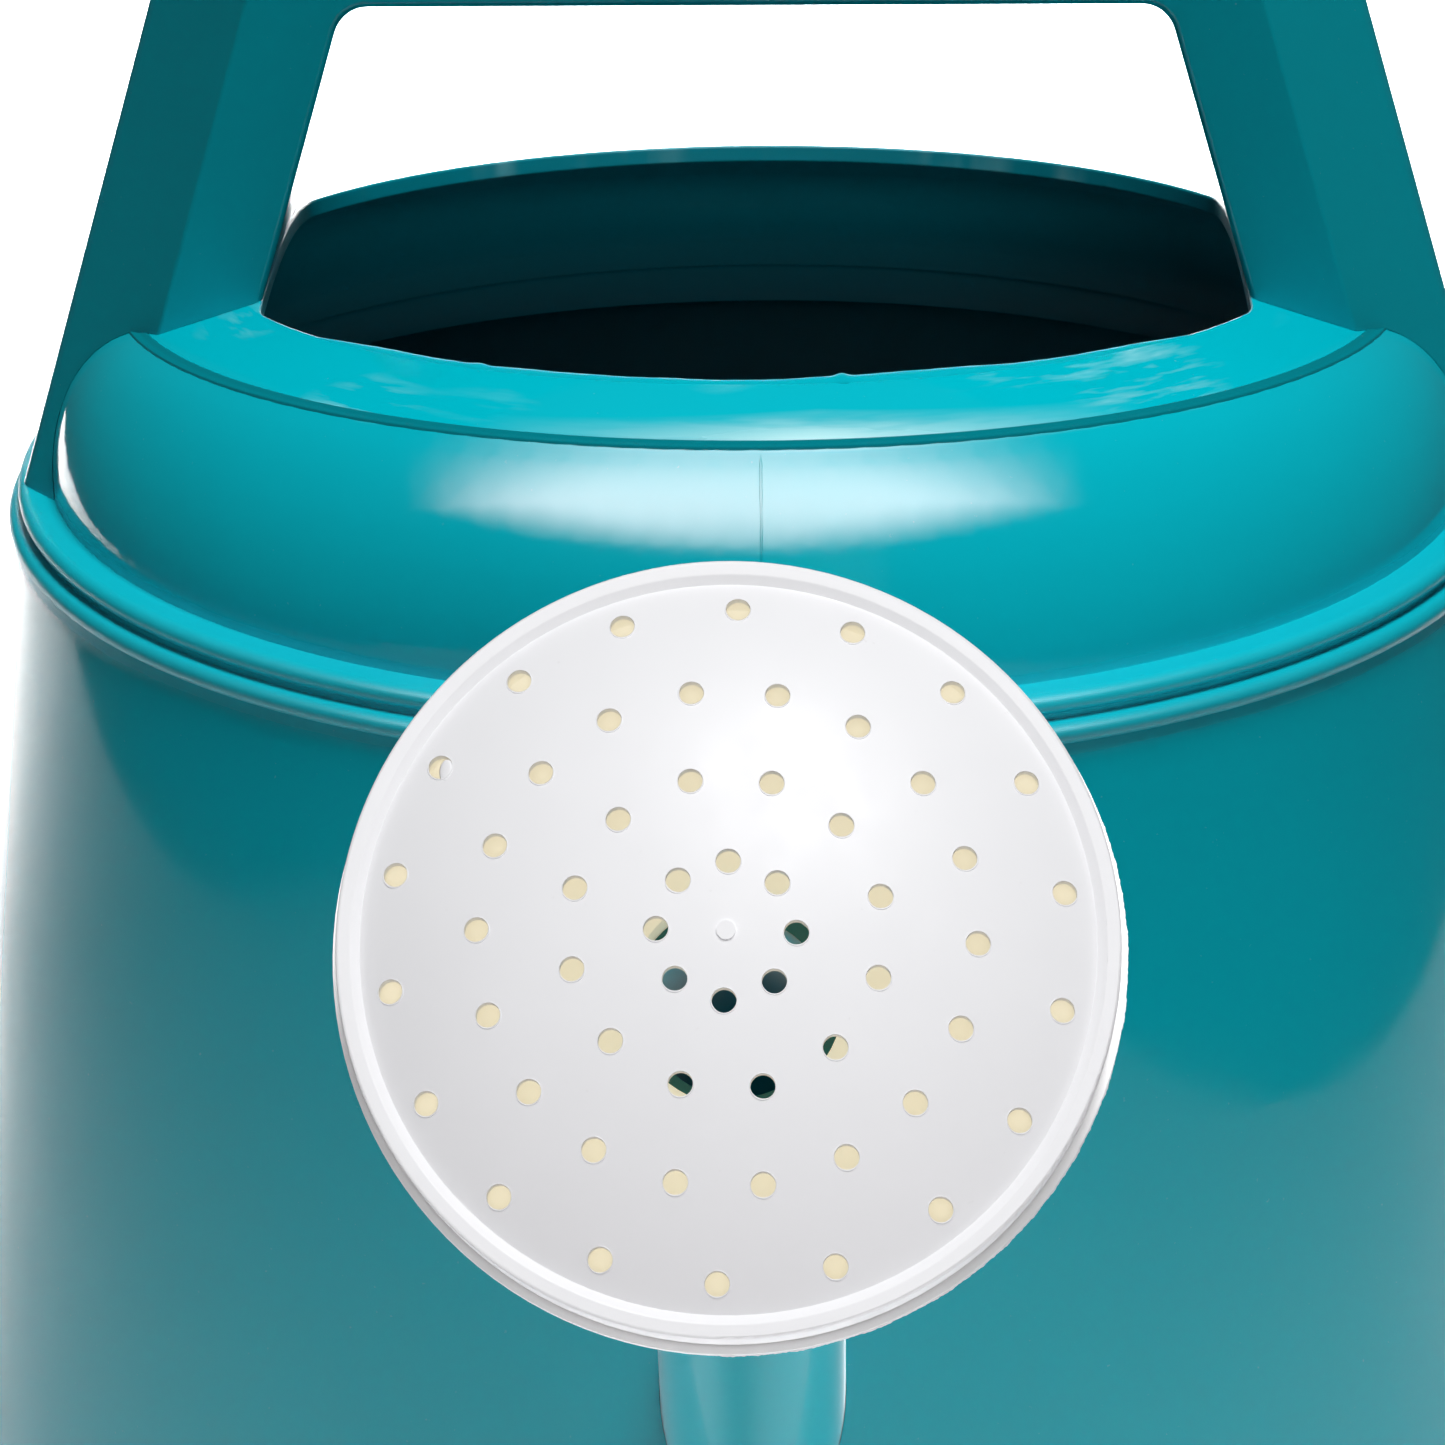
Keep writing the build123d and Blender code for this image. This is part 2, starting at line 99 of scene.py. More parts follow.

# Where the rub marks, the painted shade and the painted reflection lie, in metres: each pair is where a mark
# begins and where it is full.
# The stretch is the length that a radian round the lip counts for, short so that the streaks run along it
INNER_SHADE_Z = (0.145, 0.172)
LIP_REACH, LIP_Z = (0.0856, 0.0846), (0.170, 0.173)
LIP_STRETCH = 0.016
# The gleam is a painted reflection of the highlight, low on the lip's front
PAINTED_GLEAM_X, PAINTED_GLEAM_ASIDE, PAINTED_GLEAM_Y = 0.008, (0.040, 0.004), (-0.060, -0.070)
PAINTED_GLEAM_REACH, PAINTED_GLEAM_SLANT = (0.0770, 0.0830), -0.09
BEAD_ASIDE = (0.006, 0.004)
MOUTH_RIM = (0.0, 0.0005)
MOUTH_DEPTH_MM = 0.9

# Pieces that share a light
ROSE = ("rose_face", "rose_body", "hole_burrs", "flap", "collar_flash")
HANDLE = ("handle_shell", "handle_strip")


def turn_about_z(vector, angle):
    """The vector turned about Z by an angle."""
    c, s = math.cos(angle), math.sin(angle)
    return np.array([c * vector[0] - s * vector[1], s * vector[0] + c * vector[1], vector[2]])


def stand(thing, right, up, back, place):
    """Add a camera or light to the scene at a place, turned so that it looks against its back direction."""
    turn = np.eye(4)
    turn[:3] = np.stack([right, up, back, place], 1)
    thing.matrix_world = Matrix(turn.tolist())
    bpy.context.scene.collection.objects.link(thing)


def make_camera():
    """Camera on a sphere round the middle of the seam, then pitched, yawed and rolled."""
    place = np.array([0.0, -math.cos(CAMERA_ELEVATION), math.sin(CAMERA_ELEVATION)])
    place = turn_about_z(place * CAMERA_DISTANCE, CAMERA_AZIMUTH) + (0, 0, SEAM_Z)
    level = math.cos(CAMERA_PITCH)
    ahead = np.array([math.sin(CAMERA_YAW) * level, math.cos(CAMERA_YAW) * level, -math.sin(CAMERA_PITCH)])
    ahead = turn_about_z(ahead, CAMERA_AZIMUTH)
    right = np.cross(ahead, (0, 0, 1))
    right /= np.linalg.norm(right)
    up = np.cross(right, ahead)
    c, s = math.cos(CAMERA_ROLL), math.sin(CAMERA_ROLL)
    right, up = c * right + s * up, c * up - s * right
    data = bpy.data.cameras.new("camera")
    data.sensor_fit = "HORIZONTAL"
    data.sensor_width = SENSOR_MM
    data.lens = FOCAL_PIXELS / FRAME_PIXELS * SENSOR_MM
    data.clip_start = 0.01
    data.clip_end = 20.0
    camera = bpy.data.objects.new("camera", data)
    stand(camera, right, up, -ahead, place)
    bpy.context.scene.camera = camera


def grid_mesh(name, points, wrap_v=False):
    """Mesh of one or more grids of points, rows along u and columns along v, joined up where v wraps."""
    rows, columns = points.shape[-3:-1]
    index = np.arange(points.size // 3).reshape(-1, rows, columns)
    if wrap_v:
        index = np.concatenate([index, index[:, :, :1]], 2)
    corners = index[:, :-1, :-1], index[:, 1:, :-1], index[:, 1:, 1:], index[:, :-1, 1:]
    mesh = bpy.data.meshes.new(name)
    mesh.from_pydata(points.reshape(-1, 3).tolist(), [], np.stack(corners, -1).reshape(-1, 4).tolist())
    work = bmesh.new()
    work.from_mesh(mesh)
    bmesh.ops.remove_doubles(work, verts=work.verts, dist=1e-8)
    if wrap_v:
        bmesh.ops.recalc_face_normals(work, faces=work.faces)
    work.to_mesh(mesh)
    work.free()
    mesh.polygons.foreach_set("use_smooth", np.ones(len(mesh.polygons), bool))
    mesh.update()
    return mesh


def rod(name, path, across, out, half_width, half_height, corners=10):
    """Closed rod along a path: an ellipse in the across and out directions, drawn to a point at both ends."""
    turn = np.linspace(0, FULL_TURN, corners, endpoint=False)
    ends = np.ones(len(path))
    ends[[0, -1]] = 0
    wide = (ends * half_width)[:, None, None] * np.cos(turn)[None, :, None] * across[:, None]
    high = (ends * half_height)[:, None, None] * np.sin(turn)[None, :, None] * out[:, None]
    return grid_mesh(name, (path[:, None] + wide + high) * MM, wrap_v=True)


def wobble(along, seed, waves=(3, 7, 13, 29, 53)):
    """Uneven wave between about -1 and 1: sines of several lengths with chance phases, shorter ones lower."""
    phases = np.random.default_rng(seed).random(len(waves))
    full_swing = 1.7
    total = 0
    for order, (wave, phase) in enumerate(zip(waves, phases), 1):
        total = total + np.sin(FULL_TURN * (wave * along + phase)) / order
    return total / full_swing


def fade(along, share):
    """Rises from 0 to 1 over a share of the way in from both ends."""
    return np.clip(np.minimum(along, 1 - along) / share, 0, 1)


def bell(value, middle, width):
    """Bell curve of height 1 round a middle."""
    return np.exp(-((value - middle) / width) ** 2)


def add_object(name, mesh, material):
    """Object at the origin that shows a mesh in one material."""
    mesh.materials.append(material)
    piece = bpy.data.objects.new(name, mesh)
    bpy.context.scene.collection.objects.link(piece)
    return piece


def opaque(colour, shade=1.0):
    """Colour with an alpha of 1, darkened by a shade."""
    return tuple(part * shade for part in colour) + (1,)


class Nodes:
    """Short way to add and join the nodes of one material."""

    def __init__(self, name):
        self.material = bpy.data.materials.new(name)
        self.material.use_nodes = True
        self.tree = self.material.node_tree
        self.shader = self.tree.nodes["Principled BSDF"]
        self.place = self.add("ShaderNodeTexCoord").outputs["Object"]

    def add(self, kind, **sockets):
        """New node; sockets are set by name, or joined where an output is given."""
        node = self.tree.nodes.new(kind)
        for name, value in sockets.items():
            self.put(node.inputs[name.replace("_", " ")], value)
        return node

    def put(self, socket, value):
        """Set a socket, or join an output to it."""
        if isinstance(value, bpy.types.NodeSocket):
            self.tree.links.new(value, socket)
        else:
            socket.default_value = value

    def noise(self, scale, detail=2.0, rough=0.5, stretch=(1, 1, 1), spot=None):
        """Noise value at the surface's place or at another spot, stretched along the axes."""
        spot = self.add("ShaderNodeMapping", Vector=spot or self.place, Scale=stretch).outputs[0]
        node = self.add("ShaderNodeTexNoise", Vector=spot, Scale=scale, Detail=detail, Roughness=rough)
        return node.outputs["Fac"]

    def ramp(self, value, low, high, start=0.0, end=1.0):
        """Value carried from one range to another, held at the ends."""
        node = self.add(
            "ShaderNodeMapRange", Value=value, From_Min=low, From_Max=high, To_Min=start, To_Max=end)
        return node.outputs["Result"]

    def math(self, kind, a, b=0.0):
        """One arithmetic step."""
        node = self.tree.nodes.new("ShaderNodeMath")
        node.operation = kind
        self.put(node.inputs[0], a)
        self.put(node.inputs[1], b)
        return node.outputs[0]

    def vector(self, kind, a, b=(0, 0, 0), output="Vector"):
        """One step of vector arithmetic."""
        node = self.tree.nodes.new("ShaderNodeVectorMath")
        node.operation = kind
        self.put(node.inputs[0], a)
        self.put(node.inputs[1], b)
        return node.outputs[output]

    def mix(self, share, a, b):
        """Colour between a and b."""
        node = self.tree.nodes.new("ShaderNodeMix")
        node.data_type = "RGBA"
        self.put(node.inputs["Factor"], share)
        self.put(node.inputs["A"], a)
        self.put(node.inputs["B"], b)
        return node.outputs["Result"]

    def drift(self, scale, pair, shade=1.0):
        """Colour that drifts slowly between the two of a pair, both darkened by a shade."""
        share = self.ramp(self.noise(scale, detail=3.0), low=0.3, high=0.7)
        return self.mix(share, opaque(pair[0], shade), opaque(pair[1], shade))

    def dust(self, base, colour, scale, sparse, strength):
        """Colour with fine specks of another one; the more sparse, the fewer specks."""
        specks = self.ramp(self.noise(scale), low=sparse, high=0.80, end=strength)
        return self.mix(specks, base, opaque(colour))

    def dull(self, scale, detail, low, high):
        """Roughness that varies in small patches."""
        return self.ramp(self.noise(scale, detail), low=0.3, high=0.8, start=low, end=high)

    def faces_in(self, radial, full):
        """1 where the surface faces back along a radial direction, 0 where it faces out or sideways."""
        normal = self.add("ShaderNodeNewGeometry").outputs["Normal"]
        facing = self.vector("DOT_PRODUCT", normal, self.vector("NORMALIZE", radial), output="Value")
        return self.ramp(facing, low=-0.05, high=full)

    def bump(self, height, strength, distance):
        """Normal from a height."""
        node = self.add("ShaderNodeBump", Height=height, Strength=strength, Distance=distance)
        return node.outputs[0]

    def set(self, **sockets):
        """Set the shader's own sockets."""
        for name, value in sockets.items():
            self.put(self.shader.inputs[name.replace("_", " ")], value)


def body_marks_and_painted_light(n, base, rough):
    """Marks of the body: painted shade inside, where the surface faces the can's axis, darker lower down;
    streaky pale marks in patches round the lip, partly rub marks and partly painted reflection; a painted
    reflection low on the lip's front; and dull weld beads."""
    dullness = 0.35
    axes = n.add("ShaderNodeSeparateXYZ", Vector=n.place).outputs
    flat = n.add("ShaderNodeMapping", Vector=n.place, Scale=(1, 1, 0)).outputs[0]
    reach = n.vector("LENGTH", flat, output="Value")
    # Painted shade inside, where the surface faces the can's axis, darker lower down
    inside = n.faces_in(flat, full=-0.4)
    painted_shade = n.mix(n.ramp(axes["Z"], *INNER_SHADE_Z), opaque(INNER_PAINTED_SHADE[0]), opaque(INNER_PAINTED_SHADE[1]))
    base = n.mix(inside, base, painted_shade)

    # Pale streaks in patches round the lip: partly rub marks, partly painted reflection
    lip = n.math("MULTIPLY", n.ramp(reach, *LIP_REACH), n.ramp(axes["Z"], *LIP_Z))
    round_lip = n.math("MULTIPLY", n.math("ARCTAN2", axes["Y"], axes["X"]), LIP_STRETCH)
    along = n.add("ShaderNodeCombineXYZ", X=round_lip, Y=reach).outputs[0]
    streaks = n.ramp(n.noise(scale=330.0, detail=3.0, rough=0.55, spot=along), low=0.50, high=0.72, end=0.42)
    patches = n.ramp(n.noise(scale=28.0, detail=1.0), low=0.50, high=0.60)
    rubs_and_gleam = n.math("MULTIPLY", patches, streaks)

    # Painted reflection of the highlight, low on the lip's front
    aside = n.math("ABSOLUTE", n.math("SUBTRACT", axes["X"], PAINTED_GLEAM_X))
    front = n.math("MULTIPLY", n.ramp(aside, *PAINTED_GLEAM_ASIDE), n.ramp(axes["Y"], *PAINTED_GLEAM_Y))
    slanting = n.math("ADD", n.math("MULTIPLY", aside, PAINTED_GLEAM_SLANT), reach)
    gleam_noise = n.ramp(n.noise(scale=210.0, detail=3.0, rough=0.6, spot=along), low=0.25, high=0.55)
    painted_gleam = n.math("MULTIPLY", front, n.math("MULTIPLY", n.ramp(slanting, *PAINTED_GLEAM_REACH), gleam_noise))

    scuffs_and_gleam = n.math("MULTIPLY", lip, n.math("ADD", rubs_and_gleam, painted_gleam))
    base = n.mix(scuffs_and_gleam, base, opaque(TEAL_RUB_AND_REFLECTION))
    from_seam = n.math("ABSOLUTE", n.math("SUBTRACT", axes["Z"], SEAM_Z))
    beads = n.ramp(from_seam, *BEAD_ASIDE, end=0.7)
    worn = n.math("ADD", n.math("ADD", inside, scuffs_and_gleam), beads)
    return base, n.math("ADD", rough, n.math("MULTIPLY", worn, dullness))


def spout_dust_and_painted_shade(n, base, rough):
    """Marks of the spout: painted shade on the rim of its mouth, and dust that shows pale at a low angle."""
    middle, _, _, axis = rose_frame()
    spot = n.vector("SUBTRACT", n.place, tuple((middle - MOUTH_DEPTH_MM * axis) * MM))
    # Painted shade on the rim of the mouth
    rim = n.ramp(n.vector("DOT_PRODUCT", spot, tuple(axis), output="Value"), *MOUTH_RIM)
    n.set(Sheen_Weight=1.0, Sheen_Roughness=0.3, Sheen_Tint=(1.0, 1.0, 1.0, 1))
    return n.mix(rim, base, opaque(MOUTH_PAINTED_SHADE)), rough


def teal_plastic(name, dullness=0.0, shade=1.0, own_marks=None):
    """Glossy teal plastic: slow drift of shade, dust specks and flow marks, and a piece's own marks, some of
    them painted light or shade.
    """
    n = Nodes(name)
    base = n.drift(scale=9.0, pair=TEAL, shade=shade)
    base = n.dust(base, TEAL_DUST, scale=1500.0, sparse=0.74, strength=0.25)
    rough = n.dull(scale=60.0, detail=4.0, low=0.05 + dullness, high=0.12 + dullness)
    if own_marks:
        base, rough = own_marks(n, base, rough)
    peel_height = 0.3
    peel = n.math("MULTIPLY", n.noise(scale=160.0), peel_height)
    flow = n.noise(scale=30.0, stretch=(1, 1, 0.25))
    normal = n.bump(n.math("ADD", peel, flow), strength=0.05, distance=0.0006)
    n.set(Base_Color=base, Roughness=rough, IOR=PLASTIC_IOR, Normal=normal)
    return n.material


def white_plastic():
    """Satin white plastic with faint sink marks and dust."""
    n = Nodes("white_plastic")
    base = n.drift(scale=40.0, pair=WHITE)
    base = n.dust(base, WHITE_DUST, scale=900.0, sparse=0.76, strength=0.15)
    rough = n.dull(scale=220.0, detail=3.0, low=0.32, high=0.48)
    normal = n.bump(n.noise(scale=260.0), strength=0.08, distance=0.0004)
    n.set(Base_Color=base, Roughness=rough, IOR=PLASTIC_IOR, Specular_IOR_Level=0.4, Normal=normal)
    return n.material


def cream_plastic():
    """Uncoloured plastic of the funnel. Its inside, where the surface faces the rose's axis, is painted a
    warmer cream with a faint painted glow, both standing for daylight let through the thin wall."""
    n = Nodes("cream_plastic")
    middle, _, _, axis = rose_frame()
    spot = n.vector("SUBTRACT", n.place, tuple(middle * MM))
    radial = n.vector("SUBTRACT", spot, n.vector("PROJECT", spot, tuple(axis)))
    inside = n.faces_in(radial, full=-0.35)
    base = n.mix(inside, n.drift(35.0, FUNNEL_OUTSIDE), n.drift(35.0, FUNNEL_INSIDE_PAINTED_WARM))
    rough = n.dull(scale=200.0, detail=3.0, low=0.38, high=0.52)
    normal = n.bump(n.noise(scale=260.0), strength=0.08, distance=0.0004)
    n.set(Base_Color=base, Roughness=rough, IOR=PLASTIC_IOR, Normal=normal)
    # Painted glow on the inside, standing for light let through the wall
    n.set(Emission_Color=opaque(FUNNEL_PAINTED_GLOW), Emission_Strength=n.math("MULTIPLY", inside, PAINTED_GLOW_STRENGTH))
    return n.material


def pale_paper():
    """Matt paper of the floor and backdrop: white round the can and behind it, grey out in front as painted
    shade.
    """
    n = Nodes("pale_paper")
    behind = n.ramp(n.add("ShaderNodeSeparateXYZ", Vector=n.place).outputs["Y"], low=-0.15, high=0.25)
    near = n.ramp(n.vector("LENGTH", n.place, output="Value"), low=0.55, high=0.22)
    # White round the can and behind it; the grey out in front is painted shade
    pale = n.math("MAXIMUM", behind, near)
    n.set(Base_Color=n.mix(pale, opaque(PAPER_PAINTED_SHADE_AND_PALE[0]), opaque(PAPER_PAINTED_SHADE_AND_PALE[1])), Roughness=0.9)
    return n.material


def make_stage():
    """Paper sweep: a profile of floor, quarter round and low wall carried across X between its two edges. It
    is narrow, so that the can's sides mirror a darker room."""
    front, back, round_r, wall_foot, wall_top = -1.1, 0.95, 0.20, 0.25, 0.40
    left, right = -0.51, 0.37
    floor_points, round_points, wall_points, across_points = 24, 16, 4, 9
    turn = np.linspace(0, math.pi / 2, round_points)[1:]
    floor = np.linspace(front, back, floor_points)
    wall = np.linspace(wall_foot, wall_top, wall_points)
    y = np.r_[floor, back + round_r * np.sin(turn), np.full(wall_points, back + round_r)]
    z = np.r_[0 * floor, round_r * (1 - np.cos(turn)), wall]
    x = np.linspace(left, right, across_points)
    points = np.stack(np.broadcast_arrays(x[:, None], y[None], z[None]), -1)
    add_object("floor", grid_mesh("floor", points), pale_paper())


def softbox(name, place, target, size, power):
    """Rectangular light of a width and a height at a place, turned to a target."""
    data = bpy.data.lights.new(name, "AREA")
    data.shape = "RECTANGLE"
    data.size, data.size_y = size
    data.energy = power
    light = bpy.data.objects.new(name, data)
    back = np.array(place, float) - target
    back /= np.linalg.norm(back)
    right = np.cross((0, 0, 1), back)
    right /= np.linalg.norm(right)
    stand(light, right, np.cross(back, right), back, place)
    return light


def light_only(light, names):
    """Flag a light so that it reaches only the named pieces."""
    reached = bpy.data.collections.new(light.name)
    for name in names:
        reached.objects.link(frame["nodes"].get(name) or bpy.data.objects[name])
    light.light_linking.receiver_collection = reached


def light_not(light, names):
    """Flag a light so that it passes the named pieces by."""
    light_only(light, names)
    for entry in light.light_linking.receiver_collection.collection_objects:
        entry.light_linking.link_state = "EXCLUDE"


def soft_edges(light, width_fade, height_fade, taper):
    """Let a softbox fade to its edges: a hump across the width times a hump across the height. The ends are
    drawn in above and below the middle by the taper, which makes them blunt points."""
    light.data.use_nodes = True
    tree = light.data.node_tree
    middle = 0.5

    def step(kind, *values):
        """One arithmetic step."""
        node = tree.nodes.new("ShaderNodeMath")
        node.operation = kind
        for socket, value in zip(node.inputs, values):
            if isinstance(value, bpy.types.NodeSocket):
                tree.links.new(value, socket)
            else:
                socket.default_value = value
        return node.outputs[0]

    def hump(value, width):
        """Smooth rise from 0 at an edge to 1 at a width from it."""
        node = tree.nodes.new("ShaderNodeMapRange")
        node.interpolation_type = "SMOOTHSTEP"
        tree.links.new(value, node.inputs["Value"])
        node.inputs["From Max"].default_value = width
        return node.outputs[0]

    place = tree.nodes.new("ShaderNodeSeparateXYZ")
    tree.links.new(tree.nodes.new("ShaderNodeNewGeometry").outputs["Parametric"], place.inputs[0])
    from_end = step("PINGPONG", place.outputs["X"], middle)
    from_side = step("PINGPONG", place.outputs["Y"], middle)
    drawn_in = step("SUBTRACT", from_end, step("MULTIPLY", step("SUBTRACT", middle, from_side), taper))
    level = step("MULTIPLY", hump(drawn_in, width_fade), hump(from_side, height_fade))
    tree.links.new(level, tree.nodes["Emission"].inputs["Strength"])


def leaning(angle, lean):
    """Unit vectors from the axis outwards in a plane that leans back, at an angle from +X."""
    return np.stack([np.cos(angle), np.sin(angle) * np.cos(lean), -np.sin(angle) * np.sin(lean)], -1)


def shoulder(share, angle):
    """Point of the cover's shoulder: a leaning circle on an ellipse that turns in from skirt to crease."""
    turn = SHOULDER_SWEEP * share
    height = SEAM_Z / MM + SHOULDER_START + SHOULDER_UP * np.sin(turn)
    radius = SHOULDER_R - SHOULDER_IN * (1 - np.cos(turn))
    return radius[:, None] * leaning(angle, TOP_TILT * share) + height[:, None] * np.array([0.0, 0.0, 1.0])


def lip_frame(angle):
    """Directions on the leaning lip at an angle: away from the axis, inwards up its slope, square to it."""
    radial = leaning(angle, TOP_TILT)
    up = np.array([0, math.sin(TOP_TILT), math.cos(TOP_TILT)])
    inward = up * math.sin(LIP_SLOPE) - radial * math.cos(LIP_SLOPE)
    out = up * math.cos(LIP_SLOPE) + radial * math.sin(LIP_SLOPE)
    return radial, inward, out


def ridge(name, path, half_width, half_height):
    """Low ridge along a path that runs up a wall of the can, as a mould leaves where its halves meet."""
    ends, unevenness = 0.04, 0.25
    along = np.linspace(0, 1, len(path))
    across = np.tile([1.0, 0, 0], (len(path), 1))
    out = np.cross(np.gradient(path, axis=0), across)
    out /= np.linalg.norm(out, axis=1, keepdims=True)
    uneven = fade(along, ends) * (1 + unevenness * wobble(along, seed=5))
    return rod(name, path, across, out, half_width * uneven, half_height * uneven)


def make_parting_lines(teal):
    """Ridges down the front and the rear of the cover and down the rear of the tank."""
    half_width, half_height = 0.16, 0.04
    front_aside, steps = 1.6, 120
    below_crease, tank_low, tank_high = 0.97, 10, 142
    share = np.linspace(below_crease, 0.0, steps)
    front = shoulder(share, -math.pi / 2 + front_aside / SHOULDER_R + 0 * share)
    rear = shoulder(share, math.pi / 2 + 0 * share)
    height = np.linspace(tank_low, tank_high, steps)
    tank = np.stack([0 * height, TANK_BASE_R - TANK_SLOPE * height, height], -1)
    paths = {"parting_line_front": front, "parting_line_rear": rear, "parting_line_tank": tank}
    for name, path in paths.items():
        piece = add_object(name, ridge(name, path, half_width, half_height), teal)
        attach(piece, "can")


def make_trimmed_edge(teal):
    """Knife-cut edge left along the front of the filling opening: a thin uneven tongue on the lip's slope,
    wider in one stretch and with two burrs."""
    first, sweep, steps = -139, 98, 900
    root, depth = 0.9, 0.40
    along = np.linspace(0, 1, steps)
    degrees = first + sweep * along
    radial, inward, out = lip_frame(np.radians(degrees))
    wider = 0.7 * bell(degrees, -74, 11)
    burr = bell(degrees, -81, 0.7) + 0.6 * bell(degrees, -118, 0.9)
    width = fade(along, 0.08) * (1.25 + wider + 0.16 * wobble(along, seed=2)) + 0.3 * burr
    half_height = 0.42 + 0.05 * wobble(along, seed=3) + 0.35 * burr
    middle = LIP_WIDTH / math.cos(LIP_SLOPE) + (width - root) / 2
    crease = np.array([0, 0, SEAM_Z / MM + CREASE_RISE])
    path = crease + CREASE_R * radial + middle[:, None] * inward - depth * out
    mesh = rod("trimmed_edge", path, inward, out, (width + root) / 2, half_height)
    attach(add_object("trimmed_edge", mesh, teal), "can")


def make_crease_band(crease_shade):
    """Floor of the groove where lip and shoulder meet, in teal darkened as painted shade: a closed strip
    whose top follows the shoulder up to the crease and the lip beyond it, dips in a bell and runs out into
    both, carried round."""
    start, end, steps, angles = -0.4, 1.8, 45, 721
    full_lift, run_in, run_out, run_length = 0.12, -0.22, 1.62, 0.18
    full_dip, dip_middle, dip_width = 0.09, 0.75, 0.48
    depth = 0.75
    s = np.linspace(start, end, steps)
    lift = full_lift * np.clip(np.minimum(s - run_in, run_out - s) / run_length, -1, 1)
    dip = full_dip * bell(s, dip_middle, dip_width)
    angle = np.linspace(0, FULL_TURN, angles)
    _, inward, out = (direction[:, None] for direction in lip_frame(angle))
    share = 1 + np.minimum(s, 0) / CREASE_RUN
    base = np.stack([shoulder(np.full(angles, one), angle) for one in share], 1)
    base = base + np.maximum(s, 0)[None, :, None] * inward
    top = base + (lift - dip)[None, :, None] * out
    under = base[:, [-1, 0]] - depth * out
    points = np.concatenate([top, under], 1) * MM
    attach(add_object("crease_band", grid_mesh("crease_band", points, wrap_v=True), crease_shade), "can")


def rose_frame():
    """Middle of the spout's mouth and the three directions of the rose: across, up and along its axis."""
    turn = next(j for j in frame["record"]["behaviour"]["joints"] if j["name"] == "face_turn")
    axis = np.array(turn["axis"], float)
    across = np.array([1.0, 0, 0])
    return np.array(turn["pos_m"]) / MM, across, np.cross(axis, across), axis


def on_dome(x, y):
    """Points of the rose's dome above places across its face: a ball of the dome's radius."""
    middle, across, up, axis = rose_frame()
    height = DOME_APEX - DOME_R + np.sqrt(DOME_R**2 - x**2 - y**2)
    return middle + x[..., None] * across + y[..., None] * up + height[..., None] * axis


def make_hole_burrs(white):
    """Fine raised rim round every hole of the rose, heavier below: a ring of small, uneven section."""
    thin, heavier, ragged, clear = 0.045, 0.05, 0.02, 0.03
    hole_steps, section_steps = 29, 7
    rings = [
        np.stack([np.full(count, radius), np.radians(first) + FULL_TURN / count * np.arange(count)], -1)
        for radius, count, first in HOLE_RINGS
    ]
    radius, place = np.concatenate(rings).T[:, :, None, None]
    round_hole = np.linspace(0, FULL_TURN, hole_steps)[None, :, None]
    section = np.linspace(0, FULL_TURN, section_steps)[None, None, :-1]
    chance = np.random.default_rng(8).random(len(radius))[:, None, None]
    low = np.clip(-np.sin(round_hole + chance - 0.5), 0, 1)
    thick = thin + heavier * low + ragged * np.sin(3 * round_hole + 40 * chance) * chance
    ring = HOLE_R + clear + thick * np.cos(section)
    x = radius * np.cos(place) + ring * np.cos(round_hole)
    y = radius * np.sin(place) + ring * np.sin(round_hole)
    axis = rose_frame()[3]
    points = on_dome(x, y) + (thick * np.sin(section))[..., None] * axis
    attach(add_object("hole_burrs", grid_mesh("hole_burrs", points * MM, wrap_v=True), white), "face")


def make_flap(white):
    """Skin of plastic over half of one hole: a flat oval rod laid along the dome, sunk a little into it."""
    half_length, half_width, half_height, sunk = 1.15, 0.80, 0.14, 0.12
    right, down, steps = 0.55, 0.35, 25
    middle, across, _, axis = rose_frame()
    along = np.linspace(-1, 1, steps)
    radius, angle = COVERED_HOLE[0], math.radians(COVERED_HOLE[1])
    x = radius * math.cos(angle) + right + 0 * along
    y = radius * math.sin(angle) + half_length * along - down
    spine = on_dome(x, y)
    out = (spine - middle - (DOME_APEX - DOME_R) * axis) / DOME_R
    side = across - (out @ across)[:, None] * out
    oval = half_width * np.sqrt(1 - along**2)
    flap = rod("flap", spine - sunk * out, side, out, oval, half_height + 0 * along)
    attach(add_object("flap", flap, white), "face")


def make_collar_flash(white):
    """Torn fin of flash round the lower right of the funnel's collar: a thin rod of uneven reach."""
    first, sweep, steps = -95, 120, 700
    least, torn, half_height = 0.07, 0.12, 0.10
    middle, across, up, axis = rose_frame()
    along = np.linspace(0, 1, steps)
    angle = np.radians(first + sweep * along)
    radial = np.cos(angle)[:, None] * across + np.sin(angle)[:, None] * up
    tears = np.abs(wobble(along, seed=11, waves=(5, 17, 41, 89, 151)))
    reach = fade(along, 0.05) * (least + torn * tears)
    path = middle + COLLAR_R * radial + COLLAR_PLACE * axis
    fin = rod("collar_flash", path, radial, np.tile(axis, (steps, 1)), reach, half_height + 0 * along)
    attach(add_object("collar_flash", fin, white), "rose")


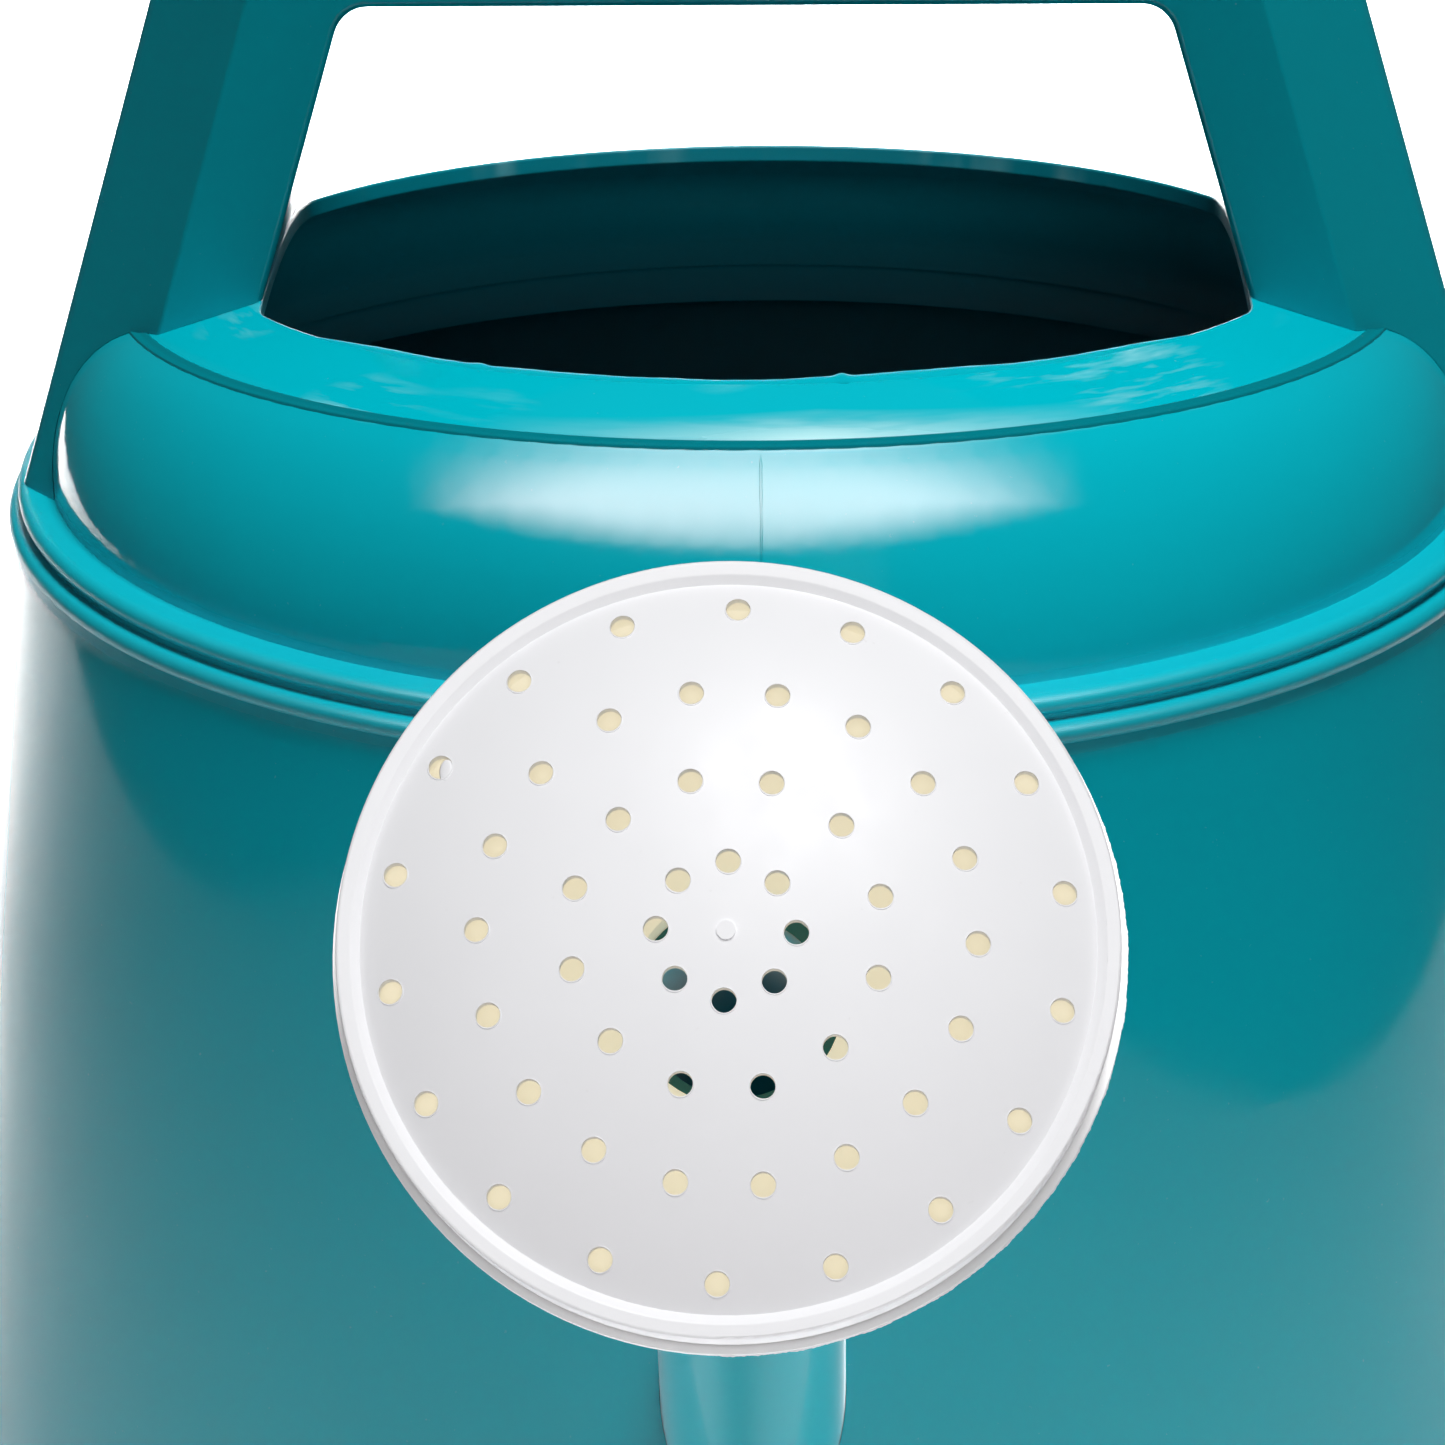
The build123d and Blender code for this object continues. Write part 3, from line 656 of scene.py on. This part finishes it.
def make_body_lights():
    """Key above and to the front right with a weaker one for the handle, a fill for the cover and spout, and
    light on the backdrop. None of them is mirrored."""
    key = softbox("key", place=(0.18, -0.32, 1.75), target=(0.0, 0.0, 0.15), size=(0.5, 0.5), power=29.0)
    light_not(key, ("rose_face", "hole_burrs", "flap") + HANDLE)
    handle_key = softbox(
        "handle_key", place=(0.30, -0.25, 1.75), target=(0.0, 0.0, 0.25), size=(0.5, 0.5), power=16.0)
    light_only(handle_key, HANDLE)
    cover_fill = softbox(
        "cover_fill", place=(0.25, -1.3, 0.6), target=(0.0, -0.09, 0.165), size=(0.4, 0.4), power=3.5)
    light_only(cover_fill, ("top_cover", "spout"))
    backdrop = softbox(
        "backdrop", place=(0.0, 0.55, 1.2), target=(0.0, 0.95, 0.0), size=(0.8, 0.4), power=26.0)
    backdrop.data.spread = math.radians(80)
    for light in (key, handle_key, cover_fill, backdrop):
        light.visible_glossy = False


def make_rose_lights():
    """Lights for the rose alone: a beam from behind the camera, a large one higher up, which it mirrors
    softly, and a low one for its collar. A spark in the spout's mouth shows the depth behind the holes."""
    rose_middle = (0.0, -0.22, 0.178)
    beam = softbox("beam", place=(0.013, -0.80, 0.443), target=rose_middle, size=(0.06, 0.06), power=1.1)
    rose_top = softbox("rose_top", place=(0.15, -0.62, 1.1), target=rose_middle, size=(0.5, 0.5), power=7.6)
    collar_fill = softbox(
        "collar_fill", place=(0.0, -0.23, 0.02), target=(0.0, -0.215, 0.17), size=(0.10, 0.05), power=0.12)
    for light in (beam, rose_top, collar_fill):
        light_only(light, ROSE)
    middle, _, _, axis = rose_frame()
    glow = softbox(
        "spout_glow", place=(middle - 2.0 * axis) * MM, target=(middle - 30.0 * axis) * MM,
        size=(0.004, 0.004), power=0.0012)
    light_only(glow, ("spout",))
    for light in (beam, collar_fill, glow):
        light.visible_glossy = False


def make_highlight_lights():
    """Panel overhead that shows only where it is mirrored, as the highlight on the shoulder, and a light on
    each side of the spout."""
    panel = softbox(
        "panel", place=(-0.06, -0.86, 1.05), target=(-0.06, -0.76, 0.15), size=(2.85, 1.99), power=268.0)
    panel.data.color = PANEL_TINT
    panel.visible_diffuse = False
    panel.visible_transmission = False
    soft_edges(panel, width_fade=0.34, height_fade=0.48, taper=0.60)
    light_not(panel, HANDLE + ROSE + ("spout", "trimmed_edge", "crease_band"))
    for side in (-1, 1):
        spout_side = softbox(
            "spout_side", place=(0.50 * side, -0.16, 0.08), target=(0.0, -0.13, 0.08),
            size=(0.20, 0.20), power=0.95)
        spout_side.visible_glossy = False
        light_only(spout_side, ("spout",))


def make_room():
    """Dim light from all round, where the camera sees a pale wall. Tones are shown as they are lit."""
    world = bpy.data.worlds.new("room")
    world.use_nodes = True
    tree = world.node_tree
    dim = tree.nodes["Background"]
    dim.inputs["Color"].default_value = opaque(DIM_ROOM)
    dim.inputs["Strength"].default_value = DIM_STRENGTH
    pale = tree.nodes.new("ShaderNodeBackground")
    pale.inputs["Color"].default_value = opaque(PALE_WALL)
    seen = tree.nodes.new("ShaderNodeLightPath")
    wall = tree.nodes.new("ShaderNodeMixShader")
    tree.links.new(seen.outputs["Is Camera Ray"], wall.inputs[0])
    tree.links.new(dim.outputs[0], wall.inputs[1])
    tree.links.new(pale.outputs[0], wall.inputs[2])
    tree.links.new(wall.outputs[0], tree.nodes["World Output"].inputs[0])
    bpy.context.scene.world = world
    bpy.context.scene.view_settings.view_transform = "Standard"


def dress_nodes(teal, body, spout, white, cream):
    """Give every CAD node its finish."""
    finish = {"tank": body, "top_cover": body, "handle_shell": teal, "handle_strip": teal, "spout": spout,
              "rose_body": cream, "rose_face": white}
    for name, material in finish.items():
        mesh = frame["nodes"][name].data
        mesh.materials.clear()
        mesh.materials.append(material)


make_camera()
make_stage()
teal = teal_plastic("teal_plastic")
# The body's marks include painted shade inside and painted reflection on the lip
body = teal_plastic("teal_body", own_marks=body_marks_and_painted_light)
white = white_plastic()
dress_nodes(teal, body, teal_plastic("teal_spout", own_marks=spout_dust_and_painted_shade), white, cream_plastic())
make_parting_lines(body)
make_trimmed_edge(teal_plastic("cut_teal", dullness=0.45))
# Crease band in teal darkened to painted shade in the groove
make_crease_band(teal_plastic("crease_shade_teal", dullness=0.45, shade=0.45))
make_hole_burrs(white)
make_flap(white)
make_collar_flash(white)
make_body_lights()
make_rose_lights()
make_highlight_lights()
make_room()
